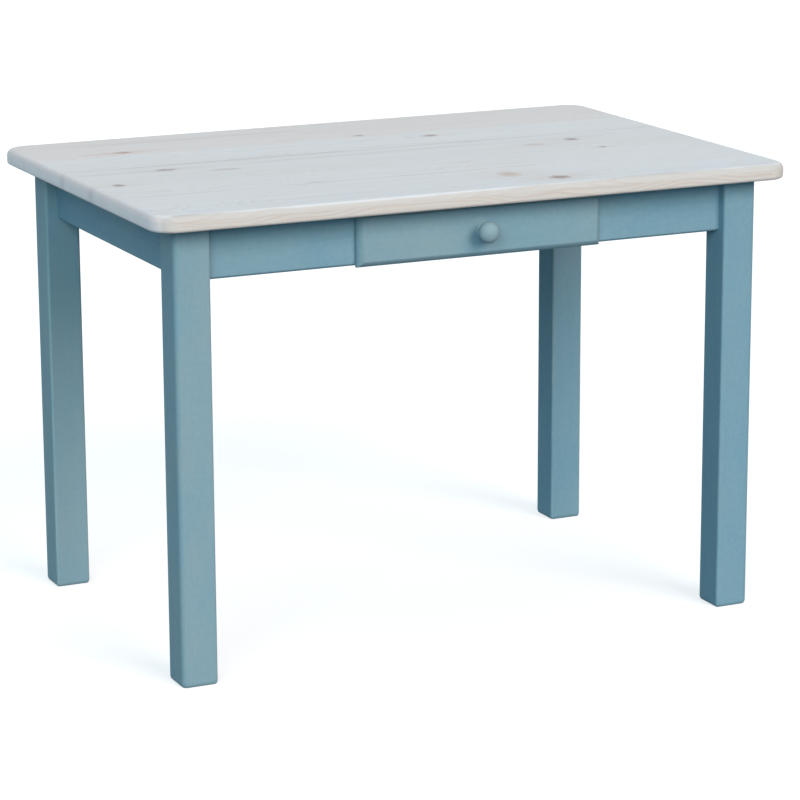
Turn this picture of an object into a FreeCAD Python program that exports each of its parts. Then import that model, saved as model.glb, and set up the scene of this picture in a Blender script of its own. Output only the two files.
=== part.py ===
import FreeCAD, Part
import math
import os
import Sketcher

from FreeCAD import Placement, Rotation, Vector

# Pine kitchen table with one shallow drawer under the front edge.
# Millimetres. X runs along the table to the right, Y from the front to the back, Z up.
# The origin is on the floor, under the middle of the top.

doc = FreeCAD.newDocument("KitchenTable")

# --------------------------------------------------------------------------------------
# Driving sizes
# --------------------------------------------------------------------------------------

SIZES = [
    # tabletop
    ("table_height", 760, "floor to the upper face of the top"),
    ("top_length", 1110, "top, left to right"),
    ("top_width", 745, "top, front to back"),
    ("top_thickness", 26, "top"),
    ("top_corner_radius", 40, "corners of the top, seen from above"),
    ("top_upper_round", 8, "round-over of the upper edge"),
    ("top_lower_round", 5, "round-over of the lower edge"),
    ("top_boards", 8, "boards in the glued top"),
    # legs
    ("leg_width", 60, "square leg"),
    ("leg_outer_round", 10, "long edge of a leg at the corner of the table"),
    ("leg_edge_round", 5, "other long edges of a leg"),
    ("foot_round", 4.5, "edges under a foot"),
    ("end_overhang", 42, "top past the legs at the ends"),
    ("side_overhang", 43, "top past the legs at the front and back"),
    # aprons
    ("apron_height", 88, "aprons"),
    ("apron_thickness", 20, "aprons"),
    ("apron_edge_round", 3, "lower edges of the aprons"),
    ("front_setback", 16.5, "front and back aprons behind the legs' faces"),
    ("end_setback", 22, "end aprons behind the legs' faces"),
    # rails, cleats and corner blocks
    ("rail_depth", 80, "drawer rails, front to back"),
    ("rail_lap", 90, "drawer rails past the drawer opening"),
    ("upper_rail_thickness", 14, "upper drawer rail and kickers"),
    ("lower_rail_thickness", 16, "lower drawer rail and runners"),
    ("cleat_width", 20, "square cleats under the top"),
    ("cleat_end_gap", 5, "cleat end to corner block"),
    ("block_thickness", 25, "corner blocks"),
    ("block_height", 66, "corner blocks"),
    ("block_leg_gap", 4, "leg's inner corner to its block"),
    # drawer
    ("drawer_shift", 10, "middle of the drawer, right of the table's middle"),
    ("drawer_front_width", 430, "drawer front"),
    ("drawer_front_thickness", 15, "drawer front"),
    ("drawer_front_drop", 2, "drawer front below the aprons"),
    ("drawer_front_gap", 3, "drawer front to the underside of the top"),
    ("drawer_front_round", 10, "front edges of the drawer front"),
    ("drawer_lap", 16, "drawer front over each side of the opening"),
    ("drawer_depth", 420, "drawer box behind its front"),
    ("drawer_side_thickness", 12, "drawer sides and back"),
    ("drawer_side_gap", 2, "drawer side to its guide"),
    ("drawer_top_gap", 3, "drawer side to the kicker"),
    ("slide_clearance", 0.3, "drawer side above its runner"),
    ("bottom_thickness", 5, "plywood drawer bottom"),
    ("groove_depth", 5, "grooves that hold the drawer bottom"),
    ("groove_height", 8, "groove above the drawer's lower edge"),
    ("panel_clearance", 0.25, "drawer bottom in its grooves"),
    ("runner_width", 28, "runners and kickers"),
    ("guide_thickness", 12, "guides beside the drawer"),
    ("guide_height", 18, "guides above the runners"),
    ("stop_width", 60, "drawer stop"),
    ("stop_thickness", 12, "drawer stop"),
    ("stop_rise", 9, "drawer stop above the drawer back"),
    # knob
    ("knob_diameter", 35, "knob head"),
    ("knob_head_thickness", 26, "knob head, front to back"),
    ("knob_projection", 36, "knob in front of the drawer"),
    ("knob_neck_diameter", 15, "knob neck"),
    ("knob_base_diameter", 23, "knob foot on the drawer"),
    ("knob_base_thickness", 3, "knob foot on the drawer"),
    # fasteners
    ("screw_diameter", 4, "wood screws"),
    ("screw_head_diameter", 8, "countersunk heads"),
    ("screw_length", 30, "wood screws"),
    ("screw_grip", 14, "top of a screw's head to the joint it pulls together"),
    ("stop_screw_length", 20, "screws of the drawer stop"),
    ("end_margin", 40, "last upward screw or pin to the end of its piece"),
    ("side_margin", 100, "last sideways screw to the end of its cleat"),
    ("hole_clearance", 0.1, "screws, dowels and bolts in their holes"),
    ("dowel_diameter", 8, "frame dowels"),
    ("dowel_length", 30, "frame dowels"),
    ("drawer_dowel_diameter", 6, "drawer dowels"),
    ("drawer_dowel_length", 28, "drawer dowels"),
    ("front_dowel_bite", 9, "drawer dowels in the drawer front"),
    ("dowel_chamfer", 1, "dowel ends"),
    ("bolt_diameter", 8, "hanger bolts"),
    ("bolt_bite", 38, "hanger bolts in the legs"),
    ("bolt_spare", 4, "hanger bolts past their nuts"),
    ("washer_diameter", 20, "washers"),
    ("washer_thickness", 1.6, "washers"),
    ("nut_across_flats", 13, "nuts"),
    ("nut_height", 6.5, "nuts"),
    ("pin_diameter", 1.6, "pins under the drawer bottom"),
    ("pin_head_diameter", 3.2, "pins under the drawer bottom"),
    ("pin_length", 20, "pins under the drawer bottom"),
]

sheet = doc.addObject("Spreadsheet::Sheet", "Sizes")
for row, (alias, value, note) in enumerate(SIZES, start=1):
    sheet.set(f"A{row}", note)
    sheet.set(f"B{row}", str(value))
    sheet.setAlias(f"B{row}", alias)
doc.recompute()

# --------------------------------------------------------------------------------------
# Places that several pieces share, worked out from the sizes
# --------------------------------------------------------------------------------------

PLACES = [
    ("frame_top", "Sizes.table_height - Sizes.top_thickness"),
    ("board_width", "Sizes.top_width / Sizes.top_boards"),
    ("apron_bottom", "Places.frame_top - Sizes.apron_height"),
    ("leg_x", "Sizes.top_length / 2 - Sizes.end_overhang - Sizes.leg_width / 2"),
    ("leg_y", "Sizes.top_width / 2 - Sizes.side_overhang - Sizes.leg_width / 2"),
    ("leg_inner_x", "Places.leg_x - Sizes.leg_width / 2"),
    ("leg_inner_y", "Places.leg_y - Sizes.leg_width / 2"),
    ("apron_inner_x", "Places.leg_x + Sizes.leg_width / 2 - Sizes.end_setback - Sizes.apron_thickness"),
    ("apron_inner_y", "Places.leg_y + Sizes.leg_width / 2 - Sizes.front_setback - Sizes.apron_thickness"),
    # corner blocks: distances from the corner where the aprons' inner faces would meet
    ("block_near", "(Places.apron_inner_x - Places.leg_inner_x + Places.apron_inner_y - Places.leg_inner_y)"
                   " / sqrt(2) + Sizes.block_leg_gap"),
    ("block_foot", "Places.block_near * sqrt(2)"),
    ("block_reach", "(Places.block_near + Sizes.block_thickness) * sqrt(2)"),
    ("cleat_half_x", "Places.apron_inner_x - Places.block_reach - Sizes.cleat_end_gap"),
    ("cleat_half_y", "Places.apron_inner_y - Places.block_reach - Sizes.cleat_end_gap"),
    # drawer opening and drawer box
    ("opening_width", "Sizes.drawer_front_width - 2 * Sizes.drawer_lap"),
    ("rail_back_y", "Sizes.rail_depth - Places.apron_inner_y"),
    ("box_front_y", "-Places.apron_inner_y - Sizes.apron_thickness"),
    ("box_back_y", "Places.box_front_y + Sizes.drawer_depth"),
    ("box_width", "Places.opening_width - 2 * Sizes.drawer_side_gap"),
    ("box_inner_width", "Places.box_width - 2 * Sizes.drawer_side_thickness"),
    ("box_bottom", "Places.apron_bottom + Sizes.lower_rail_thickness + Sizes.slide_clearance"),
    ("box_top", "Places.frame_top - Sizes.upper_rail_thickness - Sizes.drawer_top_gap"),
    ("front_bottom", "Places.apron_bottom - Sizes.drawer_front_drop"),
    ("front_top", "Places.frame_top - Sizes.drawer_front_gap"),
    ("floor_bottom", "Places.box_bottom + Sizes.groove_height"),
    ("floor_top", "Places.floor_bottom + Sizes.bottom_thickness"),
    ("runner_offset", "Places.opening_width / 2 + Sizes.guide_thickness - Sizes.runner_width / 2"),
    ("guide_offset", "Places.opening_width / 2 + Sizes.guide_thickness / 2"),
]

places = doc.addObject("App::VarSet", "Places")
for name, formula in PLACES:
    places.addProperty("App::PropertyFloat", name)
    places.setExpression(name, formula)
doc.recompute()


def size(alias):
    """Value of one driving size."""
    return float(sheet.get(alias))


def place(name):
    """Value of one shared place."""
    return float(getattr(places, name))


# --------------------------------------------------------------------------------------
# Ways to make a piece
# --------------------------------------------------------------------------------------

PIECES = {}


def keep(label, piece):
    """Register a finished piece under the name of its file."""
    piece.Label = label
    PIECES[label] = piece
    return piece


def put(piece, x, y, z):
    """Bind a piece's position to three expressions."""
    for axis, formula in zip("xyz", (x, y, z)):
        piece.setExpression(f"Placement.Base.{axis}", formula)


def new_sketch(body, plane="XY_Plane"):
    """Empty sketch on one of the body's own origin planes."""
    sketch = body.newObject("Sketcher::SketchObject", body.Name + "Sketch")
    planes = [item for item in body.Origin.OriginFeatures if item.Role == plane]
    sketch.AttachmentSupport = [(planes[0], "")]
    sketch.MapMode = "FlatFace"
    return sketch


def add_outline(sketch, points):
    """Closed outline of straight lines through the points."""
    count = len(points)
    for i in range(count):
        start, end = points[i], points[(i + 1) % count]
        sketch.addGeometry(Part.LineSegment(Vector(*start, 0), Vector(*end, 0)), False)
    for i in range(count):
        sketch.addConstraint(Sketcher.Constraint("Coincident", i, 2, (i + 1) % count, 1))


def dimension(sketch, name, kind, *where, formula):
    """Named sketch dimension, bound to an expression."""
    index = sketch.addConstraint(Sketcher.Constraint(kind, *where, 10.0))
    sketch.renameConstraint(index, name)
    sketch.setExpression(f"Constraints.{name}", formula)


def pad(body, sketch, length):
    """Pad of the sketch, upwards from its plane."""
    feature = body.newObject("PartDesign::Pad", body.Name + "Pad")
    feature.Profile = sketch
    feature.setExpression("Length", length)
    sketch.Visibility = False
    doc.recompute()
    return feature


def round_edges(body, feature, radius, test):
    """Fillet on those edges of the feature that pass the test."""
    edges = feature.Shape.Edges
    names = [f"Edge{i}" for i, edge in enumerate(edges, start=1) if test(edge)]
    fillet = body.newObject("PartDesign::Fillet", body.Name + "Round")
    fillet.Base = (feature, names)
    fillet.setExpression("Radius", radius)
    doc.recompute()
    return fillet


def board(name, across, along, up):
    """Straight board: a centred rectangle on the ground plane, padded upwards."""
    body = doc.addObject("PartDesign::Body", name)
    sketch = new_sketch(body)
    add_outline(sketch, [(-5, -5), (5, -5), (5, 5), (-5, 5)])
    for line, kind in enumerate(("Horizontal", "Vertical", "Horizontal", "Vertical")):
        sketch.addConstraint(Sketcher.Constraint(kind, line))
    sketch.addConstraint(Sketcher.Constraint("Symmetric", 0, 1, 1, 2, -1, 1))
    dimension(sketch, "across", "DistanceX", 0, 1, 0, 2, formula=across)
    dimension(sketch, "along", "DistanceY", 1, 1, 1, 2, formula=along)
    pad(body, sketch, up)
    return body


def box_tool(name, across, along, up):
    """Plain box for cutting, with its corner at its placement."""
    tool = doc.addObject("Part::Box", name)
    tool.setExpression("Length", across)
    tool.setExpression("Width", along)
    tool.setExpression("Height", up)
    return tool


def cut(label, blank, *tools):
    """Finished piece: the blank less its holes and grooves."""
    tool = tools[0]
    if len(tools) > 1:
        tool = doc.addObject("Part::Compound", label + "_cutters")
        tool.Links = list(tools)
    piece = doc.addObject("Part::Cut", label)
    piece.Base = blank
    piece.Tool = tool
    return keep(label, piece)


def group(name, shape, spots):
    """Copies of one shape, each at a point with its Z axis turned to a direction."""
    copies = []
    for point, direction in spots:
        copy = shape.copy()
        copy.Placement = Placement(point, Rotation(Vector(0, 0, 1), direction))
        copies.append(copy)
    feature = doc.addObject("Part::Feature", name)
    feature.Shape = Part.makeCompound(copies)
    feature.Placement = Placement()
    return feature


def turned(points):
    """Solid of revolution about Z from (radius, height) points."""
    wire = Part.makePolygon([Vector(r, 0, height) for r, height in points + points[:1]])
    return Part.Face(wire).revolve(Vector(0, 0, 0), Vector(0, 0, 1), 360)


def spread(low, high, count, margin):
    """Evenly spaced stations between two ends, the outer ones a margin inside."""
    step = (high - low - 2 * margin) / (count - 1)
    return [low + margin + i * step for i in range(count)]


def is_upright(edge):
    """Test for edges that run straight up."""
    direction = edge.Vertexes[-1].Point - edge.Vertexes[0].Point
    return direction.Length > 1e-6 and abs(direction.z) > 0.99 * direction.Length


def lies_at_height(height):
    """Test for edges that lie in one level plane."""
    def test(edge):
        return abs(edge.BoundBox.ZMin - height) < 1e-4 and abs(edge.BoundBox.ZMax - height) < 1e-4
    return test


def is_long_lower(axis):
    """Test for the lower edges that run along one axis."""
    def test(edge):
        box = edge.BoundBox
        run = box.XLength if axis == "x" else box.YLength
        return lies_at_height(0)(edge) and run > 0.99 * edge.Length
    return test


# --------------------------------------------------------------------------------------
# Shapes of the fasteners
# --------------------------------------------------------------------------------------

UP = Vector(0, 0, 1)
SCREW_TIP = 5        # pointed end of a wood screw
PIN_TIP = 2          # pointed end of a pin
PIN_HEAD_HEIGHT = 1
FLUSH_BORE = 1       # clearance cut above a head that lies flush
RAIL_DOWEL_STATIONS = (0.25, 0.75)   # along a rail's lap, from the opening outwards
WALL_DOWEL_STATIONS = (0.3, 0.7)     # up a drawer side, from the bottom panel


def screw_shape(length, slack=0.0, bore=0.0):
    """Countersunk screw from the top of its head, or with slack and bore its hole."""
    shank = size("screw_diameter") / 2 + slack
    head = size("screw_head_diameter") / 2 + slack
    outline = [(0, -bore), (head, -bore)]
    if bore:
        outline.append((head, 0))
    outline += [(shank, head - shank), (shank, length - SCREW_TIP), (0, length + slack)]
    return turned(outline)


def dowel_shape(diameter, length, slack=0.0):
    """Dowel about its own middle, with chamfered ends."""
    radius = diameter / 2 + slack
    half = length / 2 + slack
    chamfer = size("dowel_chamfer")
    return turned([(0, -half), (radius - chamfer, -half), (radius, chamfer - half),
                   (radius, half - chamfer), (radius - chamfer, half), (0, half)])


def pin_shape(slack=0.0):
    """Headed pin from the underside of its head."""
    shank = size("pin_diameter") / 2 + slack
    head = size("pin_head_diameter") / 2 + slack
    length = size("pin_length")
    return turned([(0, 0), (head, 0), (head, PIN_HEAD_HEIGHT), (shank, PIN_HEAD_HEIGHT),
                   (shank, length - PIN_TIP), (0, length + slack)])


def fastener_pair(label, shape, hole, spots):
    """The fasteners as one piece, and the holes that they need as a cutter."""
    keep(label, group(label, shape, spots))
    return group(label + "_holes", hole, spots)


# --------------------------------------------------------------------------------------
# Where the fasteners go
# --------------------------------------------------------------------------------------

CORNERS = {
    "front_left": (-1, -1),
    "front_right": (1, -1),
    "back_left": (-1, 1),
    "back_right": (1, 1),
}
SIDES = {"left": -1, "right": 1}

GRIP = size("screw_grip")
SLACK = size("hole_clearance")
SHIFT = size("drawer_shift")
HEAD_HEIGHT = place("frame_top") - GRIP
INNER_X = place("apron_inner_x")
INNER_Y = place("apron_inner_y")
CLEAT_HALF_X = place("cleat_half_x")
CLEAT_HALF_Y = place("cleat_half_y")
CLEAT_MIDDLE = size("cleat_width") / 2
END_MARGIN = size("end_margin")
SIDE_MARGIN = size("side_margin")


def block_screw_spots():
    """Four screws in each corner block, two into each apron."""
    middle = place("apron_bottom") + size("apron_height") / 2
    along = (place("block_foot") + place("block_reach")) / 2
    spots = []
    for sx, sy in CORNERS.values():
        for level in (-1, 1):
            height = middle + level * size("block_height") / 4
            spots.append((Vector(sx * (INNER_X - along), sy * (INNER_Y - GRIP), height), Vector(0, sy, 0)))
            spots.append((Vector(sx * (INNER_X - GRIP), sy * (INNER_Y - along), height), Vector(sx, 0, 0)))
    return spots


def cleat_screw_spots():
    """Screws through the cleats into the back and end aprons."""
    height = place("frame_top") - CLEAT_MIDDLE
    spots = []
    for x in spread(-CLEAT_HALF_X, CLEAT_HALF_X, 3, SIDE_MARGIN):
        spots.append((Vector(x, INNER_Y - GRIP, height), Vector(0, 1, 0)))
    for y in spread(-CLEAT_HALF_Y, CLEAT_HALF_Y, 2, SIDE_MARGIN):
        for side in SIDES.values():
            spots.append((Vector(side * (INNER_X - GRIP), y, height), Vector(side, 0, 0)))
    return spots


def tabletop_screw_spots():
    """Screws upwards into the top, through the cleats, the upper rail and the kickers."""
    spots = []
    for x in spread(-CLEAT_HALF_X, CLEAT_HALF_X, 4, END_MARGIN):
        spots.append((x, INNER_Y - CLEAT_MIDDLE))
    for y in spread(-CLEAT_HALF_Y, CLEAT_HALF_Y, 3, END_MARGIN):
        for side in SIDES.values():
            spots.append((side * (INNER_X - CLEAT_MIDDLE), y))
    lap_middle = (place("opening_width") + size("rail_lap")) / 2
    for x in (SHIFT - lap_middle, SHIFT, SHIFT + lap_middle):
        spots.append((x, place("rail_back_y") - size("rail_depth") / 2))
    for y in spread(place("rail_back_y"), INNER_Y - size("cleat_width"), 2, END_MARGIN):
        for side in SIDES.values():
            spots.append((SHIFT + side * place("runner_offset"), y))
    return [(Vector(x, y, HEAD_HEIGHT), UP) for x, y in spots]


def frame_dowel_spots():
    """Dowels between the rails and the front aprons, and at both ends of the runners."""
    lower = place("apron_bottom") + size("lower_rail_thickness") / 2
    upper = place("frame_top") - size("upper_rail_thickness") / 2
    forward = Vector(0, 1, 0)
    spots = []
    for side in SIDES.values():
        for share in RAIL_DOWEL_STATIONS:
            x = SHIFT + side * (place("opening_width") / 2 + share * size("rail_lap"))
            spots += [(Vector(x, -INNER_Y, height), forward) for height in (lower, upper)]
        x = SHIFT + side * place("runner_offset")
        spots += [(Vector(x, y, lower), forward) for y in (place("rail_back_y"), INNER_Y)]
    return spots


def drawer_dowel_spots():
    """Two dowels at each corner of the drawer box, above its bottom."""
    half = size("drawer_dowel_length") / 2
    wall = size("drawer_side_thickness")
    clear_height = place("box_top") - place("floor_top")
    front_y = place("box_front_y") - size("front_dowel_bite") + half
    spots = []
    for side in SIDES.values():
        for share in WALL_DOWEL_STATIONS:
            height = place("floor_top") + share * clear_height
            side_x = SHIFT + side * (place("box_width") - wall) / 2
            back_x = SHIFT + side * (place("box_width") / 2 - half)
            spots.append((Vector(side_x, front_y, height), Vector(0, 1, 0)))
            spots.append((Vector(back_x, place("box_back_y") - wall / 2, height), Vector(1, 0, 0)))
    return spots


def stop_screw_spots():
    """Two screws through the drawer stop into the drawer back."""
    height = (place("floor_top") + place("box_top")) / 2
    y = place("box_back_y") + size("stop_thickness")
    reach = size("stop_width") / 4
    return [(Vector(SHIFT + side * reach, y, height), Vector(0, -1, 0)) for side in SIDES.values()]


def bottom_pin_spots():
    """Three pins up through the drawer bottom into the drawer back."""
    half = place("box_inner_width") / 2
    y = place("box_back_y") - size("drawer_side_thickness") / 2
    return [(Vector(SHIFT + x, y, place("floor_bottom")), UP) for x in spread(-half, half, 3, END_MARGIN)]


def screw_pair(label, spots, bore, length="screw_length"):
    """Screws at the spots, and their clearance holes."""
    screw = screw_shape(size(length))
    return fastener_pair(label, screw, screw_shape(size(length), SLACK, bore), spots)


def dowel_pair(label, spots, diameter, length):
    """Dowels at the spots, and their holes."""
    dowel = dowel_shape(size(diameter), size(length))
    return fastener_pair(label, dowel, dowel_shape(size(diameter), size(length), SLACK), spots)


block_screw_holes = screw_pair("corner_block_screws", block_screw_spots(), bore=size("block_thickness"))
cleat_screw_holes = screw_pair("cleat_screws", cleat_screw_spots(), bore=size("cleat_width"))
tabletop_screw_holes = screw_pair("tabletop_screws", tabletop_screw_spots(), bore=size("cleat_width"))
stop_screw_holes = screw_pair("stop_screws", stop_screw_spots(), bore=FLUSH_BORE, length="stop_screw_length")
frame_dowel_holes = dowel_pair("frame_dowels", frame_dowel_spots(), "dowel_diameter", "dowel_length")
drawer_dowel_holes = dowel_pair("drawer_dowels", drawer_dowel_spots(),
                                "drawer_dowel_diameter", "drawer_dowel_length")
bottom_pin_holes = fastener_pair("bottom_pins", pin_shape(), pin_shape(SLACK), bottom_pin_spots())

# --------------------------------------------------------------------------------------
# Hanger bolts, washers and nuts: one set on the diagonal of each leg
# --------------------------------------------------------------------------------------

LEG_CORNER = size("leg_width") / math.sqrt(2)                     # leg's middle to its sharp corner
LEG_SKIN = LEG_CORNER - size("leg_edge_round") * (math.sqrt(2) - 1)  # the same, to the rounded corner
BLOCK_FACE = LEG_CORNER + size("block_leg_gap") + size("block_thickness")
BOLT_START = LEG_SKIN - size("bolt_bite")
BOLT_END = BLOCK_FACE + size("washer_thickness") + size("nut_height") + size("bolt_spare")
BOLT_HEIGHT = place("apron_bottom") + size("apron_height") / 2


def diagonal_spots(distance):
    """The same distance in from each leg's middle, facing the middle of the table."""
    spots = []
    for sx, sy in CORNERS.values():
        inwards = Vector(-sx, -sy, 0).normalize()
        middle = Vector(sx * place("leg_x"), sy * place("leg_y"), BOLT_HEIGHT)
        spots.append((middle + inwards * distance, inwards))
    return spots


def bolt_shape(slack=0.0):
    """Hanger bolt along Z: pointed wood thread at the foot, machine thread at the head."""
    radius = size("bolt_diameter") / 2 + slack
    length = BOLT_END - BOLT_START
    return turned([(0, -slack), (radius, SCREW_TIP), (radius, length), (0, length)])


def washer_shape():
    radius, height = size("washer_diameter") / 2, size("washer_thickness")
    bore = size("bolt_diameter") / 2 + 2 * SLACK
    return Part.makeCylinder(radius, height).cut(Part.makeCylinder(bore, height))


def nut_shape():
    radius, height = size("nut_across_flats") / math.sqrt(3), size("nut_height")
    corners = [Vector(radius, 0, 0)]
    for i in range(1, 7):
        corners.append(Rotation(UP, 60 * i).multVec(corners[0]))
    prism = Part.Face(Part.makePolygon(corners)).extrude(Vector(0, 0, height))
    return prism.cut(Part.makeCylinder(size("bolt_diameter") / 2 + SLACK, height))


bolt_holes = fastener_pair("hanger_bolts", bolt_shape(), bolt_shape(SLACK), diagonal_spots(BOLT_START))
keep("bolt_washers", group("bolt_washers", washer_shape(), diagonal_spots(BLOCK_FACE)))
keep("bolt_nuts", group("bolt_nuts", nut_shape(), diagonal_spots(BLOCK_FACE + size("washer_thickness"))))

# --------------------------------------------------------------------------------------
# Tabletop: one rounded panel, glued up from boards that run along the table
# --------------------------------------------------------------------------------------


def make_tabletop():
    panel = board("tabletop_panel", "Sizes.top_length", "Sizes.top_width", "Sizes.top_thickness")
    put(panel, "0", "0", "Places.frame_top")
    corners = round_edges(panel, panel.Tip, "Sizes.top_corner_radius", is_upright)
    upper = round_edges(panel, corners, "Sizes.top_upper_round", lies_at_height(size("top_thickness")))
    round_edges(panel, upper, "Sizes.top_lower_round", lies_at_height(0))

    # Boards are numbered from the back edge to the front edge.
    for i in range(round(size("top_boards"))):
        label = f"tabletop_board_{i + 1}"
        strip = box_tool(label + "_strip", "Sizes.top_length", "Places.board_width", "Sizes.top_thickness")
        put(strip, "-Sizes.top_length / 2", f"Sizes.top_width / 2 - {i + 1} * Places.board_width",
            "Places.frame_top")
        blank = doc.addObject("Part::Common", label + "_blank")
        blank.Base = panel
        blank.Tool = strip
        cut(label, blank, tabletop_screw_holes)


# --------------------------------------------------------------------------------------
# Legs, aprons and corner blocks
# --------------------------------------------------------------------------------------


def is_outer(sx, sy):
    """Test for the upright edge of a leg that looks away from the table."""
    def test(edge):
        middle = edge.CenterOfMass
        return is_upright(edge) and sx * middle.x > 0 and sy * middle.y > 0
    return test


def is_sharp_corner(edge):
    """Test for the upright edges of a leg that are not rounded yet."""
    half = size("leg_width") / 2
    return is_upright(edge) and abs(edge.CenterOfMass.x) + abs(edge.CenterOfMass.y) > 2 * half - 1e-4


def make_legs():
    for corner, (sx, sy) in CORNERS.items():
        blank = board("leg_" + corner + "_blank", "Sizes.leg_width", "Sizes.leg_width", "Places.frame_top")
        outer = round_edges(blank, blank.Tip, "Sizes.leg_outer_round", is_outer(sx, sy))
        edges = round_edges(blank, outer, "Sizes.leg_edge_round", is_sharp_corner)
        round_edges(blank, edges, "Sizes.foot_round", lies_at_height(0))
        put(blank, f"{sx} * Places.leg_x", f"{sy} * Places.leg_y", "0")
        cut("leg_" + corner, blank, bolt_holes)


def make_end_aprons():
    for name, side in SIDES.items():
        label = "apron_" + name
        length = "2 * Places.leg_inner_y"
        blank = board(label + "_blank", "Sizes.apron_thickness", length, "Sizes.apron_height")
        round_edges(blank, blank.Tip, "Sizes.apron_edge_round", is_long_lower("y"))
        put(blank, f"{side} * (Places.apron_inner_x + Sizes.apron_thickness / 2)", "0", "Places.apron_bottom")
        cut(label, blank, block_screw_holes, cleat_screw_holes)


def make_back_apron():
    blank = board("apron_back_blank", "2 * Places.leg_inner_x", "Sizes.apron_thickness", "Sizes.apron_height")
    round_edges(blank, blank.Tip, "Sizes.apron_edge_round", is_long_lower("x"))
    put(blank, "0", "Places.apron_inner_y + Sizes.apron_thickness / 2", "Places.apron_bottom")
    cut("apron_back", blank, block_screw_holes, cleat_screw_holes, frame_dowel_holes)


def make_front_aprons():
    """Two short aprons, one on each side of the drawer opening."""
    for name, side in SIDES.items():
        label = "apron_front_" + name
        opening_edge = f"({side} * Sizes.drawer_shift + Places.opening_width / 2)"
        length = f"Places.leg_inner_x - {opening_edge}"
        blank = board(label + "_blank", length, "Sizes.apron_thickness", "Sizes.apron_height")
        round_edges(blank, blank.Tip, "Sizes.apron_edge_round", is_long_lower("x"))
        put(blank, f"{side} * (Places.leg_inner_x + {opening_edge}) / 2",
            "-Places.apron_inner_y - Sizes.apron_thickness / 2", "Places.apron_bottom")
        cut(label, blank, block_screw_holes, frame_dowel_holes)


def make_corner_blocks():
    """Mitred blocks across the corners; each pulls its leg against the aprons."""
    for corner, (sx, sy) in CORNERS.items():
        label = "corner_block_" + corner
        blank = doc.addObject("PartDesign::Body", label + "_blank")
        sketch = new_sketch(blank)
        add_outline(sketch, [(-5, 0), (5, 0), (10, 5), (-10, 5)])
        sketch.addConstraint(Sketcher.Constraint("Horizontal", 0))
        sketch.addConstraint(Sketcher.Constraint("Symmetric", 0, 1, 0, 2, -1, 1))
        sketch.addConstraint(Sketcher.Constraint("Symmetric", 2, 1, 2, 2, -2))
        dimension(sketch, "near", "DistanceX", 0, 1, 0, 2, formula="2 * Places.block_near")
        dimension(sketch, "far", "DistanceX", 2, 2, 2, 1,
                  formula="2 * (Places.block_near + Sizes.block_thickness)")
        dimension(sketch, "thickness", "DistanceY", 0, 2, 2, 1, formula="Sizes.block_thickness")
        pad(blank, sketch, "Sizes.block_height")
        blank.Placement = Placement(Vector(), Rotation(Vector(0, 1, 0), Vector(-sx, -sy, 0)))
        put(blank, f"{sx} * (Places.apron_inner_x - Places.block_foot / 2)",
            f"{sy} * (Places.apron_inner_y - Places.block_foot / 2)",
            "Places.apron_bottom + (Sizes.apron_height - Sizes.block_height) / 2")
        cut(label, blank, block_screw_holes, bolt_holes)


# --------------------------------------------------------------------------------------
# What holds the top and carries the drawer
# --------------------------------------------------------------------------------------


def make_cleats():
    """Square battens that screw to the aprons and hold the top down."""
    width = "Sizes.cleat_width"
    height = "Places.frame_top - Sizes.cleat_width"
    back = board("cleat_back_blank", "2 * Places.cleat_half_x", width, width)
    put(back, "0", "Places.apron_inner_y - Sizes.cleat_width / 2", height)
    cut("cleat_back", back, cleat_screw_holes, tabletop_screw_holes)
    for name, side in SIDES.items():
        label = "cleat_" + name
        blank = board(label + "_blank", width, "2 * Places.cleat_half_y", width)
        put(blank, f"{side} * (Places.apron_inner_x - Sizes.cleat_width / 2)", "0", height)
        cut(label, blank, cleat_screw_holes, tabletop_screw_holes)


def make_drawer_rails():
    length = "Places.opening_width + 2 * Sizes.rail_lap"
    middle = "Places.rail_back_y - Sizes.rail_depth / 2"
    upper = board("drawer_rail_upper_blank", length, "Sizes.rail_depth", "Sizes.upper_rail_thickness")
    put(upper, "Sizes.drawer_shift", middle, "Places.frame_top - Sizes.upper_rail_thickness")
    cut("drawer_rail_upper", upper, tabletop_screw_holes, frame_dowel_holes)
    lower = board("drawer_rail_lower_blank", length, "Sizes.rail_depth", "Sizes.lower_rail_thickness")
    put(lower, "Sizes.drawer_shift", middle, "Places.apron_bottom")
    cut("drawer_rail_lower", lower, frame_dowel_holes)


def make_runners():
    """Under, beside and above each drawer side: runner, guide and kicker."""
    length = "Places.apron_inner_y - Places.rail_back_y"
    middle = "(Places.apron_inner_y + Places.rail_back_y) / 2"
    for name, side in SIDES.items():
        runner_x = f"Sizes.drawer_shift + {side} * Places.runner_offset"
        runner = board(f"drawer_runner_{name}_blank", "Sizes.runner_width", length,
                       "Sizes.lower_rail_thickness")
        put(runner, runner_x, middle, "Places.apron_bottom")
        cut("drawer_runner_" + name, runner, frame_dowel_holes)

        guide = board("drawer_guide_" + name, "Sizes.guide_thickness", length, "Sizes.guide_height")
        put(guide, f"Sizes.drawer_shift + {side} * Places.guide_offset", middle,
            "Places.apron_bottom + Sizes.lower_rail_thickness")
        keep("drawer_guide_" + name, guide)

        kicker = board(f"drawer_kicker_{name}_blank", "Sizes.runner_width", f"{length} - Sizes.cleat_width",
                       "Sizes.upper_rail_thickness")
        put(kicker, runner_x, f"{middle} - Sizes.cleat_width / 2",
            "Places.frame_top - Sizes.upper_rail_thickness")
        cut("drawer_kicker_" + name, kicker, tabletop_screw_holes)


# --------------------------------------------------------------------------------------
# Drawer
# --------------------------------------------------------------------------------------


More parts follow.
